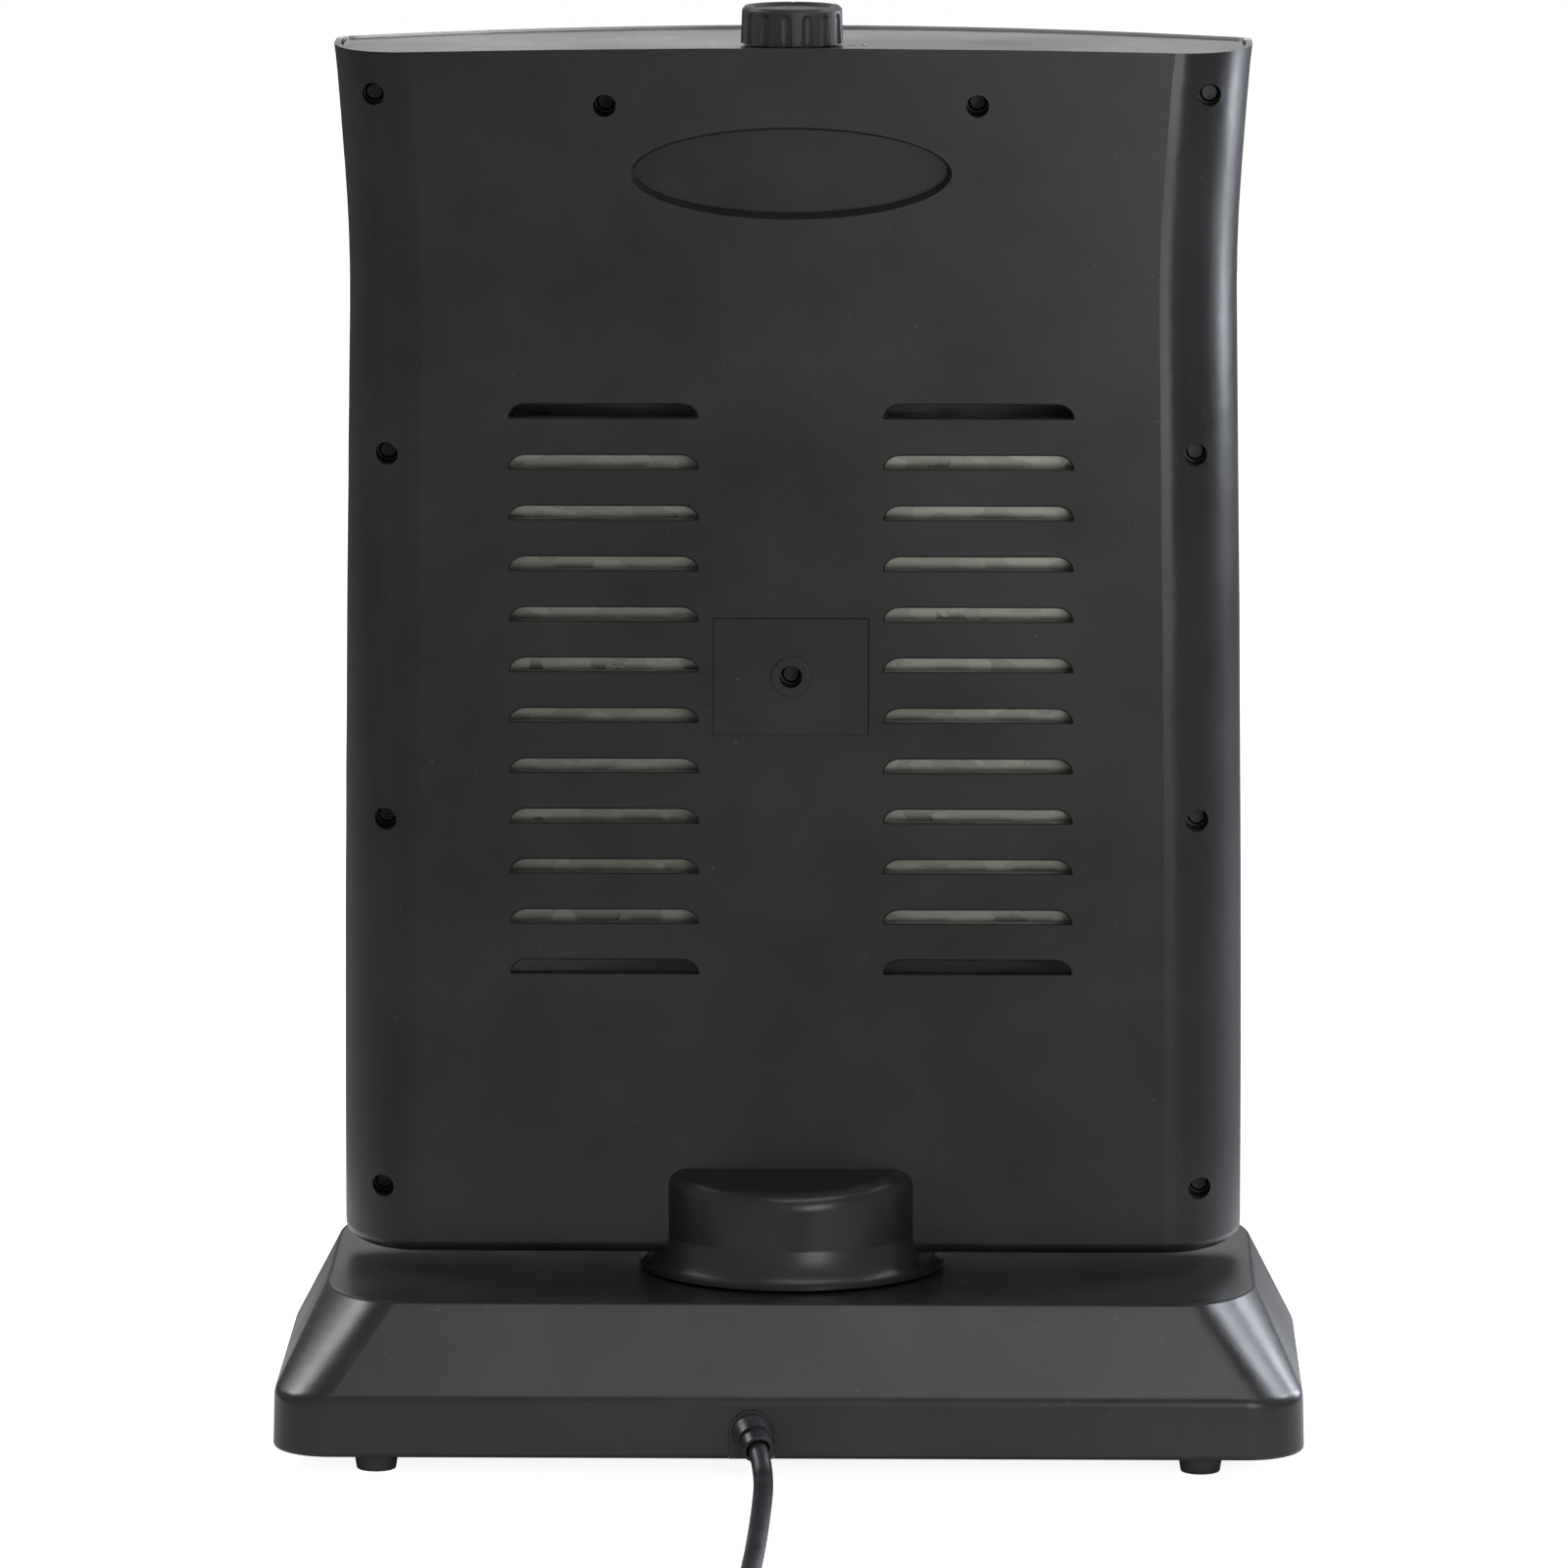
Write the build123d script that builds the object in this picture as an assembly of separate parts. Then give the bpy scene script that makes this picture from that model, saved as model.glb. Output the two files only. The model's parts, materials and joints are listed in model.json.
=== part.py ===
from build123d import *
import math
import os

# Free-standing radiant room heater: a head with three quartz tubes swivels on a wide, low base.
# Millimetres. The origin is on the floor under the swivel axis, which is Z. The heat leaves
# towards -Y, the vented back faces +Y, and the mains lead leaves the back of the base.

os.makedirs("parts", exist_ok=True)

# ---------------------------------------------------------------- base
BASE_WIDTH = 386.0
BASE_REAR_Y = 100.0
BASE_FRONT_Y = -106.0
BASE_REAR_CORNER = (22.0, 22.0)  # every corner is a quarter ellipse: reach in x, reach in y
BASE_FRONT_CORNER = (31.0, 54.0)
BAND_LOW = 7.0  # lower edge of the cover; the feet show below it
BAND_TOP = 29.0
BAND_DRAFT = 0.6  # the band leans in by this much on each side
BASE_TOP = 61.0
DECK_WIDTH = 350.0  # flat top of the base
DECK_REAR_Y = 73.0
DECK_FRONT_Y = -101.0
DECK_REAR_CORNER = (28.0, 46.0)
DECK_FRONT_CORNER = (20.0, 36.0)
DECK_ROUND = 2.2
KNEE_ROUND = 6.0
BAND_ROUND = 2.0
BASE_WALL = 3.0
PLATE_LOW = 8.0
PLATE_TOP = 9.2
FOOT_X = 154.0
FOOT_Y = 84.5

# ---------------------------------------------------------------- head
HEAD_LOW = 70.0
RIM_TOP = 526.7  # top edge at the middle; it is crowned
CROWN = 2.6
WAIST_Z = 430.0  # the head is narrowest here
WAIST_HALF_WIDTH = 167.5
TOP_FLARE = 6.1
LOW_FLARE = 3.6
REAR_WALL_Y = 24.0
SPLIT_Y = -40.0  # parting plane of rear cover and front frame
CORNER_X = 30.0  # the rear corners are elliptical in plan
CORNER_Y = 52.0
FRONT_Y = -76.0  # middle of the bowed front
FRONT_SIDE_Y = -46.0
FRONT_CORNER = 11.0
WALL = 2.5
FRONT_WALL = 3.0
LOW_EDGE_RADIUS = 4.0
HEAD_STEP = 33.0  # spacing of the sections that shape the head

# ---------------------------------------------------------------- back of the head
SLOT_ROWS = 12
SLOT_PITCH = 19.16
SLOT_FIRST_Z = 177.3  # lower edge of the lowest louvre
SLOT_INNER_X = 35.0
SLOT_OUTER_X = 105.5
SLOT_HEIGHT = 5.2
SLOT_CORNER = 6.3
SIDE_SCREWS = ((156.0, 508.8), (151.5, 373.9), (152.8, 235.3), (154.5, 94.5))
TOP_SCREWS = ((69.5, 505.2),)
POCKET_R = 4.25
POCKET_FLOOR_Y = 3.0
POCKET_END_Y = 0.5
CENTRE_BOSS_Z = 290.4
GRIP_Z = 480.0
GRIP_WIDTH = 120.0
GRIP_HEIGHT = 34.5
GRIP_DEPTH = 10.0
GRIP_DRAFT = 1.8
LABEL_WIDTH = 59.0
LABEL_HEIGHT = 45.0
LABEL_DEPTH = 0.7
CENTRE_LIP_R = 7.4  # the middle screw's collar stands a little proud of the wall
CENTRE_LIP = 0.4

# ---------------------------------------------------------------- swivel
HUB_R = 52.0
HUB_TOP = 102.5  # where the hub's top meets the rear wall
HUB_BACK = 97.0  # and where that slope would end above the hub's back
HUB_ROUND = 6.5
DISC_R = 58.0
DISC_LOW = 62.5
DISC_EDGE = 1.5
FLARE_TOP = 76.0  # the hub widens from here down to the disc's edge
SPINDLE_R = 10.0
SPINDLE_BORE = 6.0
SPINDLE_FIT = 0.06  # radial running clearance
GEAR_MODULE = 1.0
FIXED_TEETH = 42
PINION_TEETH = 12
PRESSURE_ANGLE = math.radians(20)
ADDENDUM = 0.78
DEDENDUM = 1.2
BACKLASH = 0.26
GEAR_DISTANCE = GEAR_MODULE * (FIXED_TEETH + PINION_TEETH) / 2
MOTOR_R = 21.0
SWIVEL_SCREWS = (
    (-55, -30, 74),
    (55, -30, 74),
    (-55, 10, 74),
    (55, 10, 74),
    (-13.5, 0, 74),
    (13.5, 0, 74),
    (0, -13.5, 74),
    (-26, GEAR_DISTANCE, 75),
    (26, GEAR_DISTANCE, 75),
)

# ---------------------------------------------------------------- heating unit
TUBE_ROWS = {"lower": 220.0, "middle": 285.0, "upper": 350.0}
TUBE_Y = -26.0
TUBE_R = 6.0
TUBE_HALF = 133.0
TROUGH_R = 32.0
TROUGH_BACK_Y = -6.0
SHEET = 0.8
UNIT_HALF = 124.0  # inner faces of the two tube brackets
UNIT_LOW = 187.0
UNIT_HIGH = 383.0
FLANGE = 11.0  # the reflector reaches this far past the unit, behind the window edge
BRACKET = 1.2
SHIELD_Y = 9.2
WINDOW_HALF = 124.0
WINDOW_LOW = 184.0
WINDOW_HIGH = 386.0
BRACKET_POST_X = 135.0
BRACKET_POST_Z = (246.0, 324.0)
GRILLE_Y = -54.8
GRILLE_REACH = 132.5  # the two long cross wires end in the posts

# ---------------------------------------------------------------- control
KNOB_Y = -2.0
KNOB_R = 19.2
KNOB_LOW = 526.6
KNOB_TOP = 540.4
SHAFT_R = 3.0
SHAFT_FIT = 0.05
FLUTES = 15

# ---------------------------------------------------------------- mains lead
CORD_R = 3.75
GLAND_X = 13.5
GLAND_Z = 17.5
GLAND_EXIT = Vector(10.6, 112.0, 13.3)
GLAND_WAY = Vector(-3.4, 11.0, -5.2).normalized()
GLAND_DEPTH = 6.0  # the lead starts this deep in the gland's mouth
LEAD_R = 3.25
FLOOR_GAP = 0.1
COIL_X = -33.5
COIL_Y = 380.0
COIL_LOW = 0.9
COIL_INNER_R = 31.5
COIL_OUTER_R = 54.5
COIL_HEIGHT = 14.2
CORD_END = Vector(16.2, 364.0, 4.2)


# ================================================================ helpers
def upright(x, y, low, high, r):
    """Cylinder along Z."""
    return Pos(x, y, (low + high) / 2) * Cylinder(r, high - low)


def along_y(x, z, y0, y1, r):
    """Cylinder along Y."""
    return Pos(x, (y0 + y1) / 2, z) * Rot(90, 0, 0) * Cylinder(r, y1 - y0)


def along_x(y, z, x0, x1, r):
    """Cylinder along X."""
    return Pos((x0 + x1) / 2, y, z) * Rot(0, 90, 0) * Cylinder(r, x1 - x0)


def block(x0, x1, y0, y1, z0, z1):
    """Box between two corners."""
    return Pos((x0 + x1) / 2, (y0 + y1) / 2, (z0 + z1) / 2) * Box(x1 - x0, y1 - y0, z1 - z0)


def one(shape):
    """The shape's single solid, or its solids as one group."""
    solids = shape.solids()
    return solids[0] if len(solids) == 1 else Compound(solids)


def screw(shank_r, shank, head_r, head):
    """Cross-recess screw with its seat at z=0, head above and shank below."""
    body = upright(0, 0, -shank, 0, shank_r) + upright(0, 0, 0, head, head_r)
    rim = body.edges().filter_by(GeomType.CIRCLE).sort_by(Axis.Z)[-1]
    body = fillet(rim, head * 0.45)
    arm = head_r * 1.1
    depth = head * 0.6
    cross = Box(arm, 0.9, depth) + Box(0.9, arm, depth)
    return body - Pos(0, 0, head) * cross


def tube_along(points, radii, r):
    """Round lead of radius r along straight runs joined by tangent arcs."""
    path = FilletPolyline(*points, radius=radii)
    start = Vector(points[0])
    way = Vector(points[1]) - start
    profile = Plane(origin=start, z_dir=way) * Circle(r)
    return sweep(profile, path=path), path.length


def corner_radii(points, share=0.45):
    """The largest arc that each corner's two runs allow."""
    radii = []
    for before, here, after in zip(points, points[1:], points[2:]):
        into = Vector(here) - Vector(before)
        out = Vector(after) - Vector(here)
        turn = math.radians(into.get_angle(out))
        radii.append(share * min(into.length, out.length) / math.tan(turn / 2))
    return radii


# ================================================================ head outline
def half_width(z):
    """Half the head's width: a waist at WAIST_Z, flaring to the top and a little to the foot."""
    if z > WAIST_Z:
        return WAIST_HALF_WIDTH + TOP_FLARE * ((z - WAIST_Z) / (RIM_TOP - WAIST_Z)) ** 2
    fall = (WAIST_Z - z) / (WAIST_Z - HEAD_LOW)
    return WAIST_HALF_WIDTH + LOW_FLARE * math.sin(fall * math.pi / 2)


def head_outline(z, inset):
    """Plan of the head at height z, drawn inset from its outer skin."""
    w = half_width(z) - inset
    rear = REAR_WALL_Y - inset
    side = REAR_WALL_Y - CORNER_Y
    front = FRONT_Y + inset
    turn_y = FRONT_SIDE_Y + inset * 0.4
    bow_x = w - FRONT_CORNER
    bow_y = turn_y - FRONT_CORNER * 0.62
    slope = 2 * (bow_y - front) / bow_x
    pull = FRONT_CORNER * 0.5
    keep = 1 - 0.5523
    right_rear = Bezier(
        (w - CORNER_X, rear, z),
        (w - CORNER_X * keep, rear, z),
        (w, rear - (rear - side) * keep, z),
        (w, side, z),
    )
    right_side = Line((w, side, z), (w, turn_y, z))
    right_front = Bezier(
        (w, turn_y, z),
        (w, turn_y - pull, z),
        (bow_x + pull, bow_y + slope * pull, z),
        (bow_x, bow_y, z),
    )
    bow = ThreePointArc((bow_x, bow_y, z), (0, front, z), (-bow_x, bow_y, z))
    left_front = Bezier(
        (-bow_x, bow_y, z),
        (-bow_x - pull, bow_y + slope * pull, z),
        (-w, turn_y - pull, z),
        (-w, turn_y, z),
    )
    left_side = Line((-w, turn_y, z), (-w, side, z))
    left_rear = Bezier(
        (-w, side, z),
        (-w, rear - (rear - side) * keep, z),
        (-w + CORNER_X * keep, rear, z),
        (-w + CORNER_X, rear, z),
    )
    back = Line((-w + CORNER_X, rear, z), (w - CORNER_X, rear, z))
    return Wire([right_rear, right_side, right_front, bow, left_front, left_side, left_rear, back])


def head_solid(inset, low, high):
    """Head volume between two heights, lofted through its changing width."""
    count = max(1, round((high - low) / HEAD_STEP))
    heights = [low + (high - low) * k / count for k in range(count + 1)]
    return Solid.make_loft([head_outline(z, inset) for z in heights])


def crowned(top, low=40.0):
    """Everything under a crowned top whose middle is at height top."""
    reach = half_width(RIM_TOP) + 10
    edge = top - CROWN
    arc = ThreePointArc((-reach, edge), (0, top), (reach, edge))
    sides = Polyline((reach, edge), (reach, low), (-reach, low), (-reach, edge))
    return extrude(Plane.XZ * make_face([arc, sides.edges()]), amount=160, both=True)


BEHIND_SPLIT = block(-220, 220, SPLIT_Y, 120, 0, 600)
BEFORE_SPLIT = block(-220, 220, -160, SPLIT_Y, 0, 600)
HEAD_RAW = head_solid(0, HEAD_LOW, 532)
HEAD_EDGE = HEAD_RAW.edges().group_by(Axis.Z)[0]
HEAD_BODY = fillet(HEAD_EDGE, LOW_EDGE_RADIUS) & crowned(RIM_TOP)
PANEL_TOP = RIM_TOP - 1.0
PANEL = 2.5
LEDGE_BAND = crowned(PANEL_TOP - PANEL) - crowned(PANEL_TOP - PANEL - 2)


def panel_ledge(inset):
    """Narrow shelf inside the rim that carries the top panel."""
    return (head_solid(inset - 0.3, 490, 532) - head_solid(inset + 3, 489, 533)) & LEDGE_BAND


def hub_solid(inset, low):
    """Round hub whose top slopes down towards the back, its edge rounded."""
    slope = math.atan2(HUB_TOP - HUB_BACK, HUB_R - REAR_WALL_Y)
    column = upright(0, 0, low, HUB_TOP + 60, HUB_R - inset)
    above = Pos(0, REAR_WALL_Y, HUB_TOP - inset) * Rot(-math.degrees(slope), 0, 0) * Pos(0, 0, 100)
    column = column - above * Box(300, 300, 200)
    rim = column.edges().filter_by(GeomType.ELLIPSE)[0]
    return fillet(rim, HUB_ROUND - inset)


# ================================================================ rear cover
def slot_outline(left, y, grow):
    """Louvre mouth: flat lower edge, both upper corners rounded."""
    x0 = left - grow
    x1 = left + SLOT_OUTER_X - SLOT_INNER_X + grow
    low = -grow * 0.4
    high = SLOT_HEIGHT + grow
    round_x = SLOT_CORNER + grow
    round_z = high - low - 0.3
    keep = 1 - 0.5523
    bottom = Line((x0, y, low), (x1, y, low))
    right = Line((x1, y, low), (x1, y, low + 0.3))
    right_corner = Bezier(
        (x1, y, high - round_z),
        (x1, y, high - round_z * keep),
        (x1 - round_x * keep, y, high),
        (x1 - round_x, y, high),
    )
    top = Line((x1 - round_x, y, high), (x0 + round_x, y, high))
    left_corner = Bezier(
        (x0 + round_x, y, high),
        (x0 + round_x * keep, y, high),
        (x0, y, high - round_z * keep),
        (x0, y, high - round_z),
    )
    left_side = Line((x0, y, low + 0.3), (x0, y, low))
    return Wire([bottom, right, right_corner, top, left_corner, left_side])


def slot_cutter(left):
    """Through cut of one louvre, with a small bevel round its mouth."""
    through = Solid.make_loft(
        [slot_outline(left, REAR_WALL_Y + 1, 0), slot_outline(left, 12, 0)], ruled=True
    )
    bevel = Solid.make_loft(
        [
            slot_outline(left, REAR_WALL_Y + 0.3, 0.9),
            slot_outline(left, REAR_WALL_Y - 0.6, 0),
        ],
        ruled=True,
    )
    return through + bevel


def slot_places():
    """Left edge and height of every louvre."""
    for row in range(SLOT_ROWS):
        z = SLOT_FIRST_Z + row * SLOT_PITCH
        yield SLOT_INNER_X, z
        yield -SLOT_OUTER_X, z


def screw_places():
    """Both sides of every housing screw except the middle one."""
    for x, z in SIDE_SCREWS + TOP_SCREWS:
        yield x, z
        yield -x, z


def grip_outline(y, width, height, rise):
    """Ellipse of the finger grip at depth y."""
    ring = Plane(origin=(0, y, GRIP_Z + rise), x_dir=(1, 0, 0), z_dir=(0, 1, 0))
    return (ring * Ellipse(width / 2, height / 2)).wire()


def grip_solid(grow, depth, front):
    """Tapered oval block that cuts the grip, or its outside when grown by the wall."""
    mouth = grip_outline(front, GRIP_WIDTH + 2 * grow, GRIP_HEIGHT + 2 * grow, 0)
    floor = grip_outline(
        REAR_WALL_Y - depth,
        GRIP_WIDTH - 2 * GRIP_DRAFT + 2 * grow,
        GRIP_HEIGHT - 2 * GRIP_DRAFT + 2 * grow,
        0,
    )
    return Solid.make_loft([mouth, floor], ruled=True)


def label_outline(inset, y):
    """Rectangle of the label's recess at depth y."""
    place = Plane(origin=(0, y, CENTRE_BOSS_Z), x_dir=(1, 0, 0), z_dir=(0, 1, 0))
    return (place * Rectangle(LABEL_WIDTH - 2 * inset, LABEL_HEIGHT - 2 * inset)).wire()


def rear_cover():
    body = HEAD_BODY & BEHIND_SPLIT
    hub = hub_solid(0, DISC_LOW)
    rim = Polyline(
        (HUB_R, 0, FLARE_TOP),
        (HUB_R - WALL, 0, FLARE_TOP),
        (HUB_R - WALL, 0, DISC_LOW),
        (DISC_R, 0, DISC_LOW),
        (DISC_R, 0, DISC_LOW + DISC_EDGE),
    )
    sweep_down = Bezier(
        (DISC_R, 0, DISC_LOW + DISC_EDGE),
        (DISC_R - 3.5, 0, DISC_LOW + DISC_EDGE + 2.0),
        (HUB_R, 0, FLARE_TOP),
    )
    flare = revolve(make_face([rim.edges(), sweep_down]), Axis.Z)
    skirt = (hub + flare) - block(-80, 80, -80, SPLIT_Y, HEAD_LOW - 0.3, 180)
    body = body + skirt
    # floors and walls of the screw pockets, the grip and the louvre shelves
    inside = head_solid(WALL, HEAD_LOW + WALL, 533) & block(-220, 220, -60, 120, 0, 600)
    body = body - inside - hub_solid(WALL, DISC_LOW - 1)
    bosses = [along_y(x, z, POCKET_END_Y, 23, POCKET_R + 1.9) for x, z in screw_places()]
    bosses.append(along_y(0, CENTRE_BOSS_Z, SHIELD_Y + SHEET + 0.3, 23, POCKET_R + 1.9))
    bosses.append(grip_solid(WALL, GRIP_DEPTH + WALL, REAR_WALL_Y - 0.5))
    bosses.append(panel_ledge(WALL) & block(-220, 220, SPLIT_Y, 120, 400, 600))
    for left, z in slot_places():
        right = left + SLOT_OUTER_X - SLOT_INNER_X
        bosses.append(block(left - 1.5, right + 1.5, 17.5, REAR_WALL_Y - 1, z - 1.6, z))
    inner_part = Compound([one(b) for b in bosses]) & (HEAD_RAW & BEHIND_SPLIT)
    body = body + inner_part.solids()
    # openings
    cutters = [Pos(0, 0, z) * slot_cutter(left) for left, z in slot_places()]
    cutters.append(grip_solid(0, GRIP_DEPTH, REAR_WALL_Y + 0.01))
    for x, z in screw_places():
        cutters.append(along_y(x, z, POCKET_FLOOR_Y, 40, POCKET_R))
        cutters.append(along_y(x, z, 0, 4, 2.15))
    cutters.append(along_y(0, CENTRE_BOSS_Z, 12.5, 40, POCKET_R))
    cutters.append(along_y(0, CENTRE_BOSS_Z, 8, 14, 2.15))
    label = Solid.make_loft(
        [label_outline(0, REAR_WALL_Y + 0.01), label_outline(LABEL_DEPTH, REAR_WALL_Y - LABEL_DEPTH)],
        ruled=True,
    )
    cutters += [upright(x, y, 60, 80, 1.7) for x, y, _ in SWIVEL_SCREWS[:4]]
    collar = along_y(0, CENTRE_BOSS_Z, REAR_WALL_Y - 2, REAR_WALL_Y + CENTRE_LIP, CENTRE_LIP_R)
    collar_rim = collar.edges().filter_by(GeomType.CIRCLE).sort_by(Axis.Y)[-1]
    collar = fillet(collar_rim, CENTRE_LIP)
    collar = collar - along_y(0, CENTRE_BOSS_Z, 0, 40, POCKET_R)
    return one(body - cutters - label + collar)


# ================================================================ front of the head
def front_frame():
    body = HEAD_BODY & BEFORE_SPLIT
    inside = head_solid(FRONT_WALL, HEAD_LOW + FRONT_WALL, 533)
    body = body - inside - hub_solid(WALL - 0.3, DISC_LOW - 1)
    posts = [along_y(x, z, -90, POCKET_END_Y - 0.2, 4.5) for x, z in screw_places()]
    posts += [
        along_y(side * BRACKET_POST_X, z, -90, SPLIT_Y - 5, 4.0)
        for side in (-1, 1)
        for z in BRACKET_POST_Z
    ]
    posts.append(panel_ledge(FRONT_WALL) & BEFORE_SPLIT)
    kept = Compound([one(p) for p in posts]) & HEAD_BODY
    body = body + kept.solids()
    window = Plane.XZ * RectangleRounded(2 * WINDOW_HALF, WINDOW_HIGH - WINDOW_LOW, 12)
    window = Pos(0, -50, (WINDOW_LOW + WINDOW_HIGH) / 2) * window
    cutters = [extrude(window, amount=40)]
    cutters += [along_y(x, z, -20, 1, 2.0) for x, z in screw_places()]
    cutters += [
        along_y(side * BRACKET_POST_X, z, -54, -44, 1.5)
        for side in (-1, 1)
        for z in BRACKET_POST_Z
    ]
    cutters += [along_x(GRILLE_Y, z, -GRILLE_REACH, GRILLE_REACH, 1.5) for z in BRACKET_POST_Z]
    return one(body - cutters)


def top_panel():
    plate = crowned(PANEL_TOP) - crowned(PANEL_TOP - PANEL)
    plate = plate & head_solid(FRONT_WALL + 0.4, HEAD_LOW + FRONT_WALL, 533)
    return one(plate - upright(0, KNOB_Y, 500, 560, 5.15))


def guard_grille():
    low = WINDOW_LOW - 4
    high = WINDOW_HIGH + 4
    wires = [upright(x, -52.4, low, high, 1.1) for x in range(-120, 121, 12)]
    wires += [along_x(GRILLE_Y, z, -GRILLE_REACH, GRILLE_REACH, 1.5) for z in BRACKET_POST_Z]
    edge = WINDOW_HALF + 3
    wires += [along_x(GRILLE_Y, z, -edge, edge, 1.5) for z in (low + 1.5, high - 1.5)]
    return one(wires[0] + wires[1:])


# ================================================================ heating unit
def reflector():
    """Polished sheet with one trough behind each tube."""
    axis_y = TROUGH_BACK_Y - TROUGH_R
    lip_y = axis_y + 2
    sheet = None
    for z in TUBE_ROWS.values():
        ring = along_x(axis_y, z, -UNIT_HALF, UNIT_HALF, TROUGH_R)
        ring = ring - along_x(axis_y, z, -UNIT_HALF - 1, UNIT_HALF + 1, TROUGH_R - SHEET)
        sheet = ring if sheet is None else sheet + ring
    sheet = sheet & block(-200, 200, lip_y, 0, 100, 500)
    lips = [z + side * 31.4 for z in TUBE_ROWS.values() for side in (-1, 1)]
    edges = [UNIT_LOW - FLANGE, *lips, UNIT_HIGH + FLANGE]
    strips = [
        block(-UNIT_HALF, UNIT_HALF, lip_y, lip_y + SHEET, a, b)
        for a, b in zip(edges[::2], edges[1::2])
    ]
    return one(sheet + strips)


def heat_shield():
    """Galvanised plate behind the reflector, folded forwards at its top and foot."""
    sheet = block(-137, 137, SHIELD_Y, SHIELD_Y + SHEET, UNIT_LOW, UNIT_HIGH)
    for low in (UNIT_LOW, UNIT_HIGH - SHEET):
        sheet = sheet + block(-UNIT_HALF + 1, UNIT_HALF - 1, -2, SHIELD_Y, low, low + SHEET)
    holes = [along_y(0, CENTRE_BOSS_Z, 0, 20, 1.5)]
    holes += [along_y(s * 131, z, 0, 20, 1.55) for s in (-1, 1) for z in (200, 370)]
    return one(sheet - holes)


def tube_bracket(side):
    """Side plate that carries the tube ends, flanged to the frame and the shield."""
    x0 = UNIT_HALF
    x1 = UNIT_HALF + BRACKET
    plate = block(x0, x1, SPLIT_Y - 5, SHIELD_Y, UNIT_LOW, UNIT_HIGH)
    plate = plate + block(x1, 139, SPLIT_Y - 5, SPLIT_Y - 5 + BRACKET, 232, 338)
    plate = plate + block(x1, 137, SHIELD_Y - BRACKET, SHIELD_Y, UNIT_LOW, UNIT_HIGH)
    for z in TUBE_ROWS.values():
        plate = plate - along_x(TUBE_Y, z, 110, 140, 7.0)
    for z in BRACKET_POST_Z:
        plate = plate - along_y(BRACKET_POST_X, z, -60, -30, 1.55)
    for z in (200, 370):
        plate = plate - along_y(131, z, 0, 20, 1.55)
    return one(plate if side > 0 else mirror(plate, about=Plane.YZ))


def quartz_tube(z):
    tube = along_x(TUBE_Y, z, -TUBE_HALF, TUBE_HALF, TUBE_R)
    return one(tube - along_x(TUBE_Y, z, -TUBE_HALF - 1, TUBE_HALF + 1, TUBE_R - 1))


def heating_coil(z):
    """Wound wire as one closed rod, with a thin tail at each end."""
    rod = along_x(TUBE_Y, z, -112, 112, 3.4)
    return one(rod + along_x(TUBE_Y, z, -TUBE_HALF - 4, TUBE_HALF + 4, 0.8))


def ceramic_holder(side, z):
    """Socket for one tube end: a collar outside the bracket and a neck through it."""
    body = along_x(TUBE_Y, z, UNIT_HALF + BRACKET, 141, 9.0)
    body = body + along_x(TUBE_Y, z, 117, 130, 6.9)
    body = body - along_x(TUBE_Y, z, 110, TUBE_HALF, TUBE_R)
    body = body - along_x(TUBE_Y, z, 110, TUBE_HALF + 4, 0.8)
    return one(body if side > 0 else mirror(body, about=Plane.YZ))


def thermal_cutout():
    """Bimetal disc thermostat on the back of the shield, with two blade terminals."""
    y = SHIELD_Y + SHEET
    can = along_y(-14, 235, y, y + 5, 8.2) + along_y(-14, 235, y + 5, y + 7, 5.5)
    blades = block(-21, -19, y + 1, y + 3, 235, 249) + block(-9, -7, y + 1, y + 3, 235, 249)
    return one(can + blades)


def bracket_screws():
    front = screw(1.5, 8, 3.0, 2.2)
    placed = []
    for side in (-1, 1):
        for z in BRACKET_POST_Z:
            seat = SPLIT_Y - 5 + BRACKET
            placed.append(Pos(side * BRACKET_POST_X, seat, z) * Rot(-90, 0, 0) * front)
        for z in (200, 370):
            placed.append(Pos(side * 131, SHIELD_Y + SHEET, z) * Rot(-90, 0, 0) * front)
    return Compound([one(p) for p in placed])


# ================================================================ control
def rotary_switch():
    case = block(-16, 16, KNOB_Y - 15, KNOB_Y + 15, 500, 522.6)
    case = case + upright(0, KNOB_Y, 522, 529.4, 5.0)
    for x in (-10, -3.5, 3.5, 10):
        case = case + block(x - 0.4, x + 0.4, KNOB_Y - 3, KNOB_Y + 3, 490, 501)
    return one(case - upright(0, KNOB_Y, 504, 560, SHAFT_R + SHAFT_FIT))


def switch_nut():
    nut = extrude(Pos(0, KNOB_Y, PANEL_TOP) * RegularPolygon(8.0, 6), amount=2.4)
    return one(nut - upright(0, KNOB_Y, 500, 560, 5.0))


def switch_shaft():
    rod = upright(0, KNOB_Y, 506, 537.6, SHAFT_R)
    flat = block(-5, 5, KNOB_Y + 1.8, KNOB_Y + 6, 530.5, 540)
    return one(rod - flat)


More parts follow.
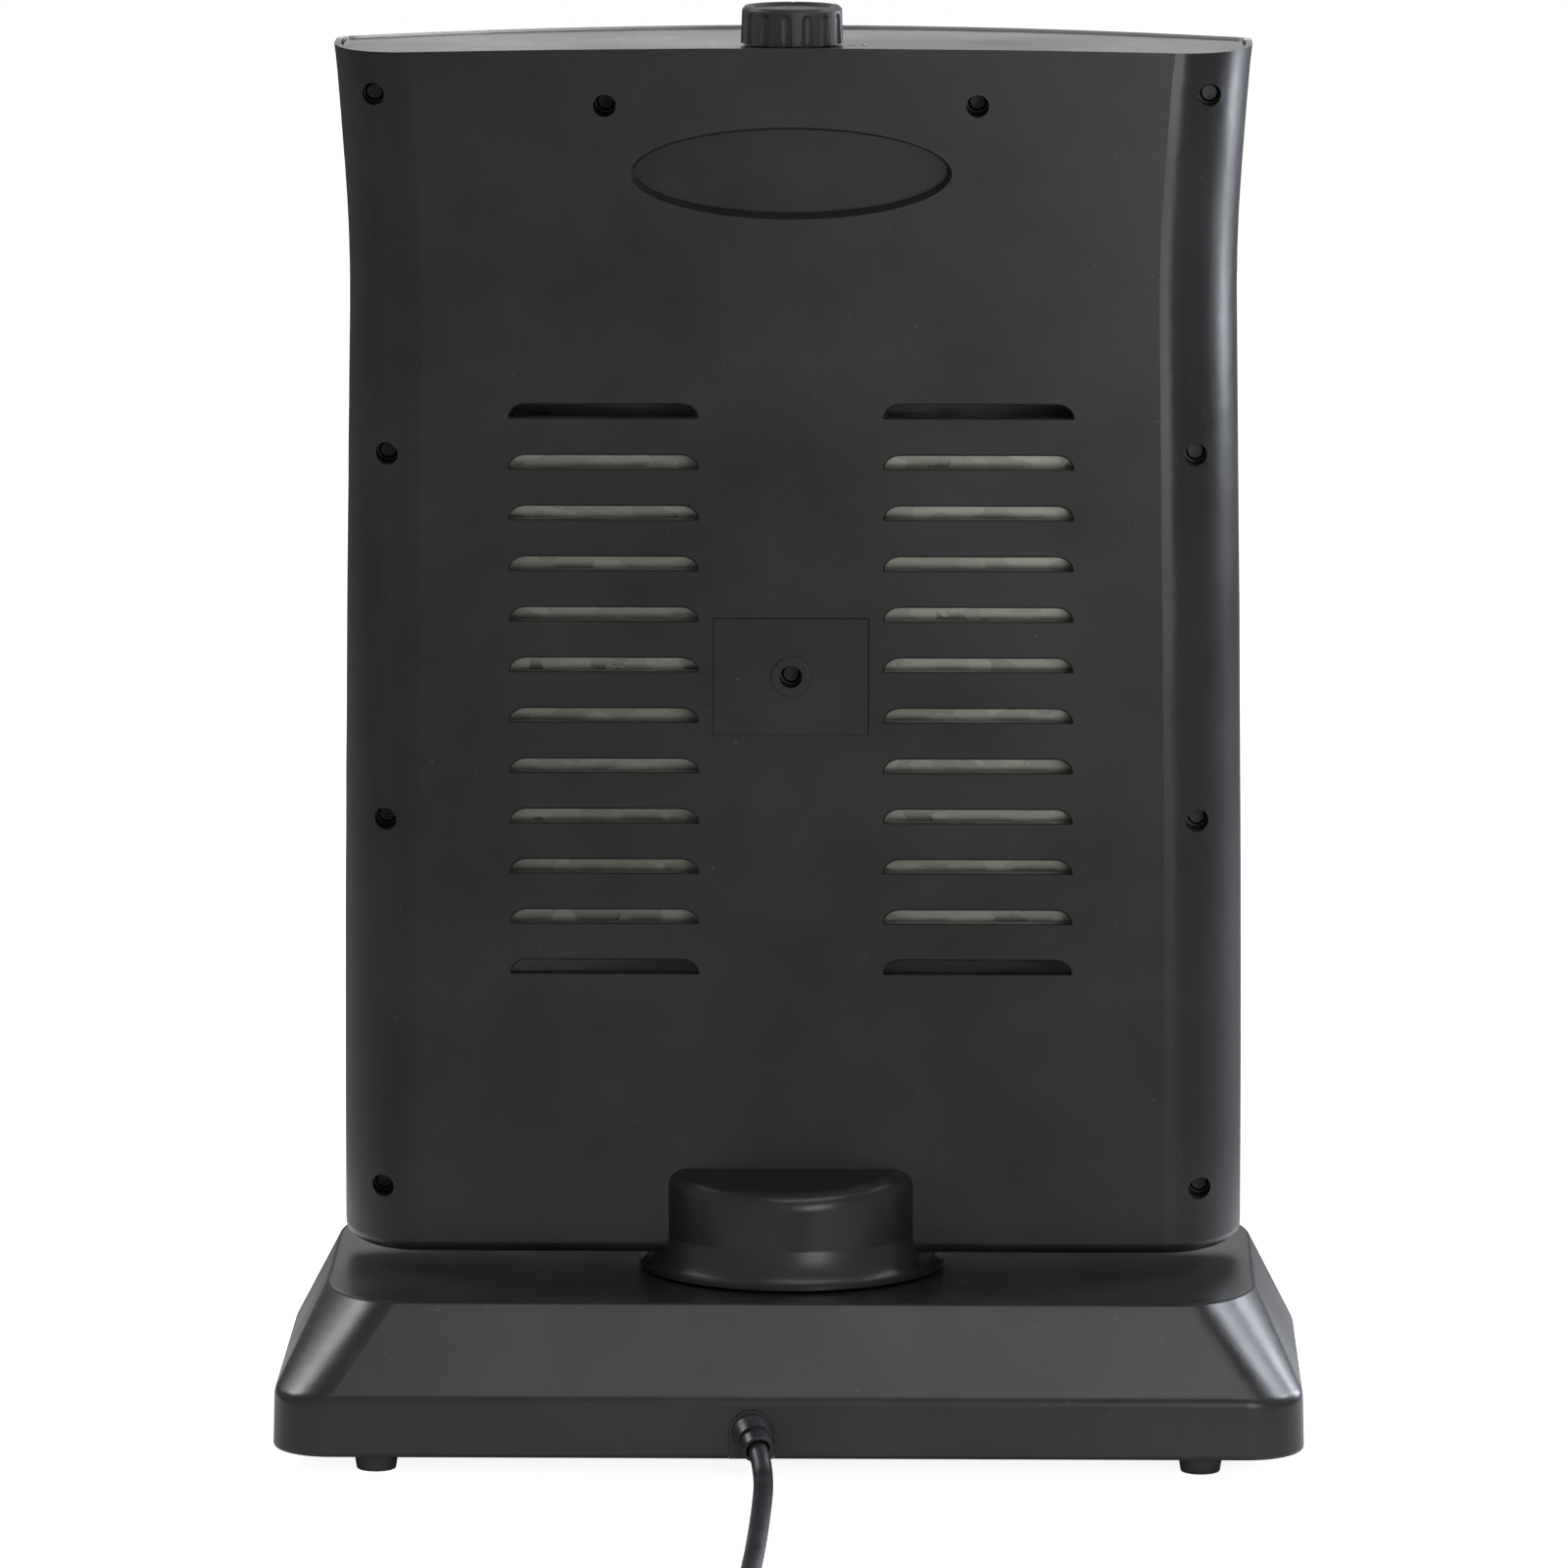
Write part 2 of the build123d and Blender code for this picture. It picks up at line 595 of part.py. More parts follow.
def control_knob():
    """Fluted knob with a smooth collar, a raised rim and a dished top."""
    low_r = KNOB_R
    top_r = KNOB_R - 0.5
    profile = Polyline(
        (0, 0, KNOB_LOW),
        (low_r, 0, KNOB_LOW),
        (top_r + 0.05, 0, KNOB_TOP - 1.2),
        (top_r - 1.0, 0, KNOB_TOP),
        (15.2, 0, KNOB_TOP),
        (14.2, 0, KNOB_TOP - 1.0),
        (0, 0, KNOB_TOP - 1.0),
        close=True,
    )
    body = revolve(make_face(profile.edges()), Axis.Z)
    flute_r = 3.6
    flute_top = KNOB_TOP - 4.2
    cutters = []
    for k in range(FLUTES):
        turn = Rot(0, 0, (k + 0.5) * 360 / FLUTES)
        spot = KNOB_R + flute_r - 1.1
        flute = upright(spot, 0, KNOB_LOW - 3, flute_top, flute_r)
        flute = flute + Pos(spot, 0, flute_top) * Sphere(flute_r)
        cutters.append(turn * flute)
    cutters.append(upright(0, 0, KNOB_LOW - 1, 530.4, 10.5))
    cutters.append(upright(0, 0, 530, 537.6, SHAFT_R) - block(-5, 5, 1.8, 6, 530.5, 540))
    cutters.append(block(-0.6, 0.6, -18, -15.5, KNOB_TOP - 0.5, KNOB_TOP + 1))
    return one(Pos(0, KNOB_Y, 0) * (body - cutters))


def wiring_loom():
    """Two sleeved runs: swivel to terminal block, and block to switch behind the shield."""
    entry = [(0, 0, 82.4), (0, 0, 113), (0, -16, 113)]
    low, _ = tube_along(entry, corner_radii(entry), 3.0)
    route = [
        (15, -23, 124.2),
        (15, -23, 148),
        (15, 15.2, 172),
        (15, 15.2, 440),
        (14, 3, 458),
        (7, -2, 474),
        (7, -2, 489.6),
    ]
    high, _ = tube_along(route, corner_radii(route), 3.0)
    return Compound([one(low), one(high)])


def terminal_block():
    case = block(-20, 20, -29.9, -16, 102, 124)
    holes = [along_y(x, 118, -24, -10, 2.2) for x in (-14, -5, 5, 14)]
    return one(case - holes)


# ================================================================ swivel
def gear_outline(teeth, tooth_at):
    """Involute spur gear outline with one tooth centred at the angle tooth_at, in degrees."""
    pitch_r = GEAR_MODULE * teeth / 2
    base_r = pitch_r * math.cos(PRESSURE_ANGLE)
    tip_r = pitch_r + ADDENDUM * GEAR_MODULE
    root_r = pitch_r - DEDENDUM * GEAR_MODULE
    thick = math.pi / (2 * teeth) - BACKLASH / (2 * pitch_r)
    involute = math.tan(PRESSURE_ANGLE) - PRESSURE_ANGLE
    flank = []
    for step in range(5):
        r = max(base_r, root_r) + (tip_r - max(base_r, root_r)) * step / 4
        reach = math.acos(min(1.0, base_r / r))
        flank.append((r, thick + involute - (math.tan(reach) - reach)))
    flank.insert(0, (root_r - 0.01, thick + involute))
    points = []
    for k in range(teeth):
        centre = math.radians(tooth_at) + 2 * math.pi * k / teeth
        side = [(r, centre - a) for r, a in flank] + [(r, centre + a) for r, a in reversed(flank)]
        points += [(r * math.cos(a), r * math.sin(a)) for r, a in side]
    return make_face(Polyline(*points, close=True).edges())


def fixed_gear():
    gear = extrude(gear_outline(FIXED_TEETH, 90), amount=6)
    return one(Pos(0, 0, BASE_TOP) * (gear - Cylinder(12.05, 40)))


def drive_pinion():
    gear = extrude(gear_outline(PINION_TEETH, 285), amount=5.6)
    gear = gear - Cylinder(2.0, 40)
    return one(Pos(0, GEAR_DISTANCE, BASE_TOP + 1.5) * gear)


def motor_shaft():
    shaft = upright(0, GEAR_DISTANCE, BASE_TOP + 1.5, 80, 2.0)
    return one(shaft)


def swivel_motor():
    """Flat synchronous gear motor with two ears."""
    can = upright(0, GEAR_DISTANCE, 74, 92, MOTOR_R)
    can = fillet(can.edges().filter_by(GeomType.CIRCLE).sort_by(Axis.Z)[-1], 1.5)
    ears = block(-30, 30, GEAR_DISTANCE - 5, GEAR_DISTANCE + 5, 74, 75)
    tag = block(-6, 6, GEAR_DISTANCE - MOTOR_R - 1, GEAR_DISTANCE - 10, 84, 92)
    tag = tag - upright(0, 0, 60, 100, 5.6)
    body = can + ears + tag
    for side in (-1, 1):
        body = body - upright(side * 26, GEAR_DISTANCE, 70, 80, 1.75)
    return one(body - upright(0, GEAR_DISTANCE, 70, 80.4, 2.0 + SHAFT_FIT))


def swivel_plate():
    """Steel plate across the hub, bent up into a tab for the terminal block."""
    plate = upright(0, 0, 72.5, 74, 49.0) + block(-62, 62, -38, 18, 72.5, 74)
    plate = plate + block(-24, 24, -31.2, -30, 73, 130)
    plate = plate - upright(0, 0, 60, 90, SPINDLE_BORE + 0.2)
    plate = plate - upright(0, GEAR_DISTANCE, 60, 90, 4.0)
    for x, y, _ in SWIVEL_SCREWS:
        plate = plate - upright(x, y, 60, 90, 1.7)
    return one(plate)


def swivel_screws():
    pattern = screw(1.7, 3.6, 3.0, 2.0)
    return Compound([one(Pos(x, y, z) * pattern) for x, y, z in SWIVEL_SCREWS])


def hollow_spindle():
    tube = upright(0, 0, 48, 72.5, SPINDLE_R) + upright(0, 0, 69.5, 72.5, 17)
    tube = tube - upright(0, 0, 40, 90, SPINDLE_BORE)
    for x, y, _ in SWIVEL_SCREWS[4:7]:
        tube = tube - upright(x, y, 60, 90, 1.7)
    return one(tube)


def retaining_collar():
    ring = upright(0, 0, 50, 55.7, 16) - upright(0, 0, 40, 60, SPINDLE_R)
    return one(ring - along_x(0, 52.8, 9, 20, 1.5))


def spindle_bush():
    bush = upright(0, 0, 56, 67.4, 12) + upright(0, 0, 56, 58, 17)
    return one(bush - upright(0, 0, 40, 90, SPINDLE_R + SPINDLE_FIT))


def thrust_washer():
    return one(upright(0, 0, 67.4, 69.2, 16) - upright(0, 0, 60, 80, SPINDLE_R + 0.3))


# ================================================================ base
def rounded_ring(half, rear, front, rear_corner, front_corner, inset, z):
    """Closed outline at height z with quarter-ellipse corners, drawn inset from the given sides."""
    w = half - inset
    keep = 1 - 0.5523
    corners = []
    for y, reach, turn in ((rear, rear_corner, 1), (front, front_corner, -1)):
        edge = y - turn * inset
        rx = reach[0] - inset
        ry = turn * (reach[1] - inset)
        corners.append(
            [
                (w, edge - ry, z),
                (w, edge - ry * keep, z),
                (w - rx * keep, edge, z),
                (w - rx, edge, z),
            ]
        )
    (r0, r1, r2, r3), (f0, f1, f2, f3) = corners
    mirrored = [[(-x, y, h) for x, y, h in corner] for corner in corners]
    (m0, m1, m2, m3), (n0, n1, n2, n3) = mirrored
    return Wire(
        [
            Bezier(r0, r1, r2, r3),
            Line(r3, m3),
            Bezier(m3, m2, m1, m0),
            Line(m0, n0),
            Bezier(n0, n1, n2, n3),
            Line(n3, f3),
            Bezier(f3, f2, f1, f0),
            Line(f0, r0),
        ]
    )


def base_ring(inset, z):
    """Outline of the base's band."""
    return rounded_ring(
        BASE_WIDTH / 2, BASE_REAR_Y, BASE_FRONT_Y, BASE_REAR_CORNER, BASE_FRONT_CORNER, inset, z
    )


def base_solid(inset, low, mid, top):
    """Low truncated pyramid with rounded corners: an upright band, then a slope to the deck."""
    foot = base_ring(inset, low)
    knee = base_ring(inset + BAND_DRAFT, mid)
    deck = rounded_ring(
        DECK_WIDTH / 2, DECK_REAR_Y, DECK_FRONT_Y, DECK_REAR_CORNER, DECK_FRONT_CORNER, 0.7 * inset, top
    )
    return Solid.make_loft([foot, knee], ruled=True) + Solid.make_loft([knee, deck], ruled=True)


BASE_SCREWS = ((168, 58), (-168, 58), (168, -58), (-168, -58), (-60, 84), (0, -90))
CLAMP_Y = 78.0


def base_cover():
    outer = base_solid(0, BAND_LOW, BAND_TOP, BASE_TOP)
    levels = outer.edges().group_by(Axis.Z)
    deck_edges = levels[-1]
    outer = fillet(deck_edges, DECK_ROUND)
    knee_edges = [e for e in outer.edges() if abs(e.center().Z - BAND_TOP) < 0.05]
    outer = fillet(knee_edges, KNEE_ROUND)
    outer = fillet(outer.edges().group_by(Axis.Z)[0], BAND_ROUND)
    inner = base_solid(BASE_WALL, BAND_LOW - 1, BAND_TOP - 1.5, BASE_TOP - BASE_WALL)
    shell = outer - inner
    bosses = [upright(x, y, PLATE_TOP + 0.2, 60, 4.5) for x, y in BASE_SCREWS]
    kept = Compound([one(b) for b in bosses]) & outer
    shell = shell + kept.solids()
    shell = shell - [upright(x, y, 0, 24, 1.6) for x, y in BASE_SCREWS]
    notch = along_y(GLAND_X, GLAND_Z, 90, 110, 8.3)
    notch = notch + block(GLAND_X - 8.3, GLAND_X + 8.3, 90, 110, 0, GLAND_Z)
    return one(shell - notch - upright(0, 0, 50, 70, 12.05))


TIP_X = -95.0
TIP_Y = 30.0


def base_plate():
    outline = make_face(base_ring(BASE_WALL + 0.4, PLATE_LOW).edges())
    plate = extrude(outline, amount=PLATE_TOP - PLATE_LOW, dir=(0, 0, 1))
    holes = [upright(x, y, 0, 20, 1.7) for x, y in BASE_SCREWS]
    holes += [upright(sx * FOOT_X, sy * FOOT_Y, 0, 20, 2.0) for sx in (-1, 1) for sy in (-1, 1)]
    holes += [upright(GLAND_X + s * 9.5, CLAMP_Y, 0, 20, 1.6) for s in (-1, 1)]
    holes.append(upright(TIP_X, TIP_Y, 0, 20, 3.06))
    return one(plate - holes)


def base_screws():
    """Self-tapping screws: six through the plate from below, two through the lead clamp."""
    pattern = screw(1.6, 12, 3.2, 2.0)
    placed = [Pos(x, y, PLATE_LOW) * Rot(180, 0, 0) * pattern for x, y in BASE_SCREWS]
    placed += [Pos(GLAND_X + s * 9.5, CLAMP_Y, 22) * pattern for s in (-1, 1)]
    return Compound([one(p) for p in placed])


def rubber_foot(side_x, side_y):
    """Tapered foot with a sunk hole for its screw."""
    foot = Pos(0, 0, PLATE_LOW / 2) * Cone(7.3, 8.6, PLATE_LOW)
    foot = foot - upright(0, 0, -1, 3.2, 4.0) - upright(0, 0, 0, 12, 2.0)
    rim = foot.edges().filter_by(GeomType.CIRCLE).group_by(Axis.Z)[0].sort_by(SortBy.RADIUS)[-1]
    foot = fillet(rim, 0.8)
    return one(Pos(side_x * FOOT_X, side_y * FOOT_Y, 0) * foot)


def foot_screws():
    pattern = screw(2.0, 10.5, 3.7, 2.2)
    spots = [(sx * FOOT_X, sy * FOOT_Y) for sx in (-1, 1) for sy in (-1, 1)]
    return Compound([one(Pos(x, y, 3.2) * Rot(180, 0, 0) * pattern) for x, y in spots])


def counterweight():
    slab = block(-95, 95, -84, -38, PLATE_TOP, 20)
    return one(fillet(slab.edges().filter_by(Axis.Z), 4))


def tip_switch():
    """Micro switch box over the tip-over plunger."""
    case = block(TIP_X - 14, TIP_X + 14, TIP_Y - 8, TIP_Y + 8, 23, 41)
    legs = block(TIP_X - 14, TIP_X - 10, TIP_Y - 8, TIP_Y + 8, PLATE_TOP, 23)
    legs = legs + block(TIP_X + 10, TIP_X + 14, TIP_Y - 8, TIP_Y + 8, PLATE_TOP, 23)
    return one(case + legs - upright(TIP_X, TIP_Y, 20, 32, 3.06))


def tip_plunger():
    """Floor feeler: a pad below the plate, a rod, and a collar that stops its drop."""
    rod = upright(TIP_X, TIP_Y, 0.3, 28, 3.0)
    pad = upright(TIP_X, TIP_Y, 0.3, 3.0, 5.0)
    collar = upright(TIP_X, TIP_Y, 15.5, 17, 5.5)
    return one(rod + pad + collar)


def tip_spring():
    """Compression spring between the collar and the switch box."""
    wire = 0.4
    turns = Helix(pitch=1.65, height=5.0, radius=4.2)
    start = turns @ 0
    section = Plane(origin=start, z_dir=turns % 0) * Circle(wire)
    return one(Pos(TIP_X, TIP_Y, 17.5) * sweep(section, path=turns))


def cord_clamp():
    saddle = block(GLAND_X - 14, GLAND_X + 14, CLAMP_Y - 6, CLAMP_Y + 6, PLATE_TOP, 22)
    saddle = saddle - along_y(GLAND_X, GLAND_Z, 60, 90, LEAD_R + 0.05)
    for s in (-1, 1):
        saddle = saddle - upright(GLAND_X + s * 9.5, CLAMP_Y, 0, 40, 1.6)
    return one(saddle)


def supply_lead():
    """Lead from the gland through the clamp and up inside the spindle, on the swivel axis."""
    route = [(GLAND_X, 93.4, GLAND_Z), (GLAND_X, 54, GLAND_Z), (6, 28, 16), (0, 0, 16), (0, 0, 82)]
    lead, _ = tube_along(route, corner_radii(route), LEAD_R)
    return one(lead)


def strain_relief():
    """Stepped bush that fills the notch and points the lead down and back."""
    bush = along_y(GLAND_X, GLAND_Z, 96.8, 100.8, 8.2)
    bush = bush + block(GLAND_X - 8.2, GLAND_X + 8.2, 96.8, 100.4, BAND_LOW + 0.4, GLAND_Z)
    bush = bush + along_y(GLAND_X, GLAND_Z, 93.4, 97, 7.3)
    aim = Plane(origin=GLAND_EXIT, z_dir=GLAND_WAY)
    collar = aim * Pos(0, 0, -9.2) * Cylinder(6.9, 6.4)
    nose = aim * Pos(0, 0, -6.5) * Cylinder(5.75, 13)
    nose = fillet(nose.edges().filter_by(GeomType.CIRCLE), 0.5)
    bore = aim * Pos(0, 0, -GLAND_DEPTH / 2 + 0.5) * Cylinder(4.6, GLAND_DEPTH + 1)
    bore = bore + aim * Pos(0, 0, 1) * Cylinder(4.6, 2)
    outside = block(-30, 60, 97.2, 140, 0, 60)
    return one(bush + ((collar + nose) & outside) - bore)


# ================================================================ free mains lead
CORD_START = GLAND_EXIT - GLAND_WAY * GLAND_DEPTH
CORD_FLOOR = CORD_R + FLOOR_GAP
CORD_ROUTE = [
    tuple(CORD_START),
    (9.8, 114.6, 11.9),
    (8.5, 123.0, 5.4),
    (8.2, 137.0, CORD_FLOOR),
    (8.3, 166.0, CORD_FLOOR),
    (8.7, 204.0, CORD_FLOOR),
    (9.5, 246.0, CORD_FLOOR),
    (10.9, 290.0, CORD_FLOOR),
    (13.2, 330.0, CORD_FLOOR + 0.1),
    tuple(CORD_END),
]


def mains_cord():
    radii = corner_radii(CORD_ROUTE)
    cord, length = tube_along(CORD_ROUTE, radii, CORD_R)
    print("cord radii", [round(r, 1) for r in radii])
    print("cord volume", round(cord.volume), "section x length", round(math.pi * CORD_R**2 * length))
    return one(cord)


def cord_coil():
    """Outer shape of the put-away turns."""
    high = COIL_LOW + COIL_HEIGHT
    ring = upright(COIL_X, COIL_Y, COIL_LOW, high, COIL_OUTER_R)
    ring = ring - upright(COIL_X, COIL_Y, 0, 40, COIL_INNER_R)
    return one(fillet(ring.edges().filter_by(GeomType.CIRCLE), 3.0))


def coil_tie():
    """Band round the turns."""
    x0 = COIL_X - COIL_OUTER_R - 0.8
    x1 = COIL_X - COIL_INNER_R + 1.1
    high = COIL_LOW + COIL_HEIGHT
    band = block(x0, x1, COIL_Y - 4, COIL_Y + 4, COIL_LOW - 0.8, high + 0.8)
    return one(band - block(x0 + 0.8, x1 - 0.8, COIL_Y - 6, COIL_Y + 6, COIL_LOW, high))


PLUG_R = 18.5
PLUG_THICK = 32.0
PLUG_TAIL = 46.0  # from the plug's middle to the end of its tail
PLUG_TURN = 172.0
TAIL_END = Vector(COIL_X - 18, COIL_Y + 52.5, PLUG_THICK / 2 + FLOOR_GAP)


def plug_frame():
    """Plug axis: its pins point along local +X, and its tail touches the coil."""
    return Pos(TAIL_END) * Rot(0, 0, PLUG_TURN) * Pos(PLUG_TAIL, 0, 0)


def plug():
    """Moulded round plug with flat sides, a tapered tail and a soft rim."""
    body = along_x(0, 0, -8, 20, PLUG_R)
    body = body & block(-60, 60, -PLUG_R, PLUG_R, -PLUG_THICK / 2, PLUG_THICK / 2)
    waist = Pos(-15, 0, 0) * Rot(0, 90, 0) * Cone(8.0, 14.0, 16)
    tail = Pos(-34, 0, 0) * Rot(0, 90, 0) * Cone(4.9, 7.0, 24)
    holes = [along_x(s * 9.5, 0, 10, 30, 2.4) for s in (-1, 1)]
    bore = along_x(0, 0, -60, -40, CORD_R)
    return one(plug_frame() * (body + waist + tail - holes - bore))


def plug_pins():
    pins = []
    for s in (-1, 1):
        pin = along_x(s * 9.5, 0, 10, 39, 2.4)
        tip = pin.edges().filter_by(GeomType.CIRCLE).sort_by(Axis.X)[-1]
        pins.append(one(plug_frame() * fillet(tip, 1.6)))
    return Compound(pins)


# ================================================================ fasteners of the head
def housing_screws():
    pattern = screw(2.0, 16, 3.6, 2.4)
    placed = [Pos(x, POCKET_FLOOR_Y, z) * Rot(-90, 0, 0) * pattern for x, z in screw_places()]
    placed.append(Pos(0, 12.5, CENTRE_BOSS_Z) * Rot(-90, 0, 0) * screw(1.5, 10, 3.6, 2.4))
    return Compound([one(p) for p in placed])


# ================================================================ write
def build_all():
    """Every node's solid, by name."""
    nodes = {
        "rear_cover": rear_cover(),
        "front_frame": front_frame(),
        "top_panel": top_panel(),
        "guard_grille": guard_grille(),
        "reflector": reflector(),
        "heat_shield": heat_shield(),
        "tube_bracket_left": tube_bracket(1),
        "tube_bracket_right": tube_bracket(-1),
        "thermal_cutout": thermal_cutout(),
        "bracket_screws": bracket_screws(),
        "rotary_switch": rotary_switch(),
        "switch_nut": switch_nut(),
        "switch_shaft": switch_shaft(),
        "control_knob": control_knob(),
        "wiring_loom": wiring_loom(),
        "terminal_block": terminal_block(),
        "swivel_plate": swivel_plate(),
        "swivel_motor": swivel_motor(),
        "swivel_screws": swivel_screws(),
        "motor_shaft": motor_shaft(),
        "drive_pinion": drive_pinion(),
        "hollow_spindle": hollow_spindle(),
        "retaining_collar": retaining_collar(),
        "housing_screws": housing_screws(),
        "fixed_gear": fixed_gear(),
        "spindle_bush": spindle_bush(),
        "thrust_washer": thrust_washer(),
        "base_cover": base_cover(),
        "base_plate": base_plate(),
        "base_screws": base_screws(),
        "foot_screws": foot_screws(),
        "counterweight": counterweight(),
        "tip_switch": tip_switch(),
        "tip_plunger": tip_plunger(),
        "tip_spring": tip_spring(),
        "cord_clamp": cord_clamp(),
        "supply_lead": supply_lead(),
        "strain_relief": strain_relief(),
        "mains_cord": mains_cord(),
        "cord_coil": cord_coil(),
        "coil_tie": coil_tie(),
        "plug": plug(),
        "plug_pins": plug_pins(),
    }
    for name, z in TUBE_ROWS.items():
        nodes[f"quartz_tube_{name}"] = quartz_tube(z)
        nodes[f"heating_coil_{name}"] = heating_coil(z)
        nodes[f"ceramic_holder_{name}_left"] = ceramic_holder(1, z)
        nodes[f"ceramic_holder_{name}_right"] = ceramic_holder(-1, z)
    for depth, side_y in (("rear", 1), ("front", -1)):
        for width, side_x in (("left", 1), ("right", -1)):
            nodes[f"rubber_foot_{depth}_{width}"] = rubber_foot(side_x, side_y)
    return nodes


for node, shape in build_all().items():
    export_step(shape, f"parts/{node}.step")
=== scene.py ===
import json
import math

import bmesh
import bpy
from mathutils import Matrix, Vector


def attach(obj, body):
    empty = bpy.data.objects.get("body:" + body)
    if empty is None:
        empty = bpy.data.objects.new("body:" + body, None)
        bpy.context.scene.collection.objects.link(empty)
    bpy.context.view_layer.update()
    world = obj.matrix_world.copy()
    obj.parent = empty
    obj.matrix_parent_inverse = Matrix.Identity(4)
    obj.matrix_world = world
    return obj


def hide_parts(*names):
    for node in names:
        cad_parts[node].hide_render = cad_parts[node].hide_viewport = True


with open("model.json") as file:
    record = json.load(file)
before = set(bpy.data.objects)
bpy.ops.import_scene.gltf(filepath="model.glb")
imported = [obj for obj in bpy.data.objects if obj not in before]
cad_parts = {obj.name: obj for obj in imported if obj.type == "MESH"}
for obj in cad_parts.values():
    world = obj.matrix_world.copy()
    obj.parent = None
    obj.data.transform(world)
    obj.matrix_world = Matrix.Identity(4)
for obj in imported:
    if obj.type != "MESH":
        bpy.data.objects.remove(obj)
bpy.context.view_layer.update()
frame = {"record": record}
RECORD = frame["record"]


# ------------------------------------------------------------------ node helpers
def new_material(name):
    mat = bpy.data.materials.new(name)
    mat.use_nodes = True
    tree = mat.node_tree
    for node in list(tree.nodes):
        tree.nodes.remove(node)
    out = tree.nodes.new("ShaderNodeOutputMaterial")
    shader = tree.nodes.new("ShaderNodeBsdfPrincipled")
    tree.links.new(shader.outputs[0], out.inputs[0])
    return mat, tree, shader


def add(tree, kind, **values):
    node = tree.nodes.new("ShaderNode" + kind)
    for key, value in values.items():
        if key in node.inputs:
            node.inputs[key].default_value = value
        else:
            setattr(node, key, value)
    return node


def coords(tree, scale=(1, 1, 1)):
    place = add(tree, "TexCoord")
    shift = add(tree, "Mapping")
    shift.inputs["Scale"].default_value = scale
    tree.links.new(place.outputs["Object"], shift.inputs[0])
    return shift.outputs[0]


def noise(tree, scale, detail=3.0, rough=0.5, stretch=(1, 1, 1), distort=0.0):
    node = add(tree, "TexNoise", Scale=scale, Detail=detail, Roughness=rough, Distortion=distort)
    tree.links.new(coords(tree, stretch), node.inputs["Vector"])
    return node.outputs[0]


def cells(tree, scale, stretch=(1, 1, 1), feature="F1", output="Distance"):
    node = add(tree, "TexVoronoi", Scale=scale)
    node.feature = feature
    tree.links.new(coords(tree, stretch), node.inputs["Vector"])
    return node.outputs[output]


def ramp(tree, source, low, high, a=0.0, b=1.0):
    node = add(tree, "MapRange")
    node.inputs["From Min"].default_value = low
    node.inputs["From Max"].default_value = high
    node.inputs["To Min"].default_value = a
    node.inputs["To Max"].default_value = b
    tree.links.new(source, node.inputs["Value"])
    return node.outputs[0]


def math_node(tree, how, a, b):
    node = add(tree, "Math")
    node.operation = how
    for i, value in enumerate((a, b)):
        if isinstance(value, (int, float)):
            node.inputs[i].default_value = value
        else:
            tree.links.new(value, node.inputs[i])
    return node.outputs[0]


def mix(tree, factor, a, b):
    node = add(tree, "Mix")
    node.data_type = "RGBA"
    sockets = [s for s in node.inputs if s.type == "RGBA"]
    for socket, value in zip(sockets, (a, b)):
        if isinstance(value, tuple):
            socket.default_value = (*value, 1.0)
        else:
            tree.links.new(value, socket)
    tree.links.new(factor, node.inputs[0])
    return [s for s in node.outputs if s.type == "RGBA"][0]


def bump(tree, shader, height, strength, distance, before=None):
    node = add(tree, "Bump")
    node.inputs["Strength"].default_value = strength
    node.inputs["Distance"].default_value = distance
    tree.links.new(height, node.inputs["Height"])
    if before is not None:
        tree.links.new(before, node.inputs["Normal"])
    tree.links.new(node.outputs[0], shader.inputs["Normal"])
    return node.outputs[0]


# ------------------------------------------------------------------ materials
DUST_COLOR = (0.22, 0.21, 0.20)
DUST_FILM = 0.22  # strength of the film that settles on upward faces


def moulded(name, color, rough, grain=1400.0, depth=0.00006, dust=0.25):
    """Moulded plastic: spark-eroded grain, uneven gloss and a little settled dust."""
    mat, tree, shader = new_material(name)
    broad = noise(tree, 14, 4, 0.6)
    fine = noise(tree, grain, 2, 0.5)
    pits = cells(tree, grain * 0.55)
    light = tuple(min(1, c * 1.45 + 0.004) for c in color)  # where the gloss is worn
    base = mix(tree, ramp(tree, broad, 0.3, 0.7), color, light)
    specks = ramp(tree, noise(tree, 420, 1, 0.5), 0.745, 0.80)
    geometry = add(tree, "NewGeometry")
    split = add(tree, "SeparateXYZ")
    tree.links.new(geometry.outputs["Normal"], split.inputs[0])
    upward = ramp(tree, split.outputs[2], 0.25, 0.95)
    film = math_node(tree, "MULTIPLY", ramp(tree, noise(tree, 45, 5, 0.7), 0.42, 0.75), upward)
    film = math_node(tree, "MULTIPLY", film, DUST_FILM)
    dusty = math_node(tree, "MULTIPLY", math_node(tree, "MAXIMUM", film, specks), dust)
    base = mix(tree, dusty, base, DUST_COLOR)
    tree.links.new(base, shader.inputs["Base Color"])
    gloss = ramp(tree, broad, 0.25, 0.75, rough - 0.05, rough + 0.07)
    tree.links.new(gloss, shader.inputs["Roughness"])
    shader.inputs["IOR"].default_value = 1.5
    height = math_node(tree, "ADD", fine, math_node(tree, "MULTIPLY", pits, 0.5))
    first = bump(tree, shader, height, 0.5, depth)
    bump(tree, shader, noise(tree, 9, 2, 0.5), 0.12, 0.0006, first)
    return mat


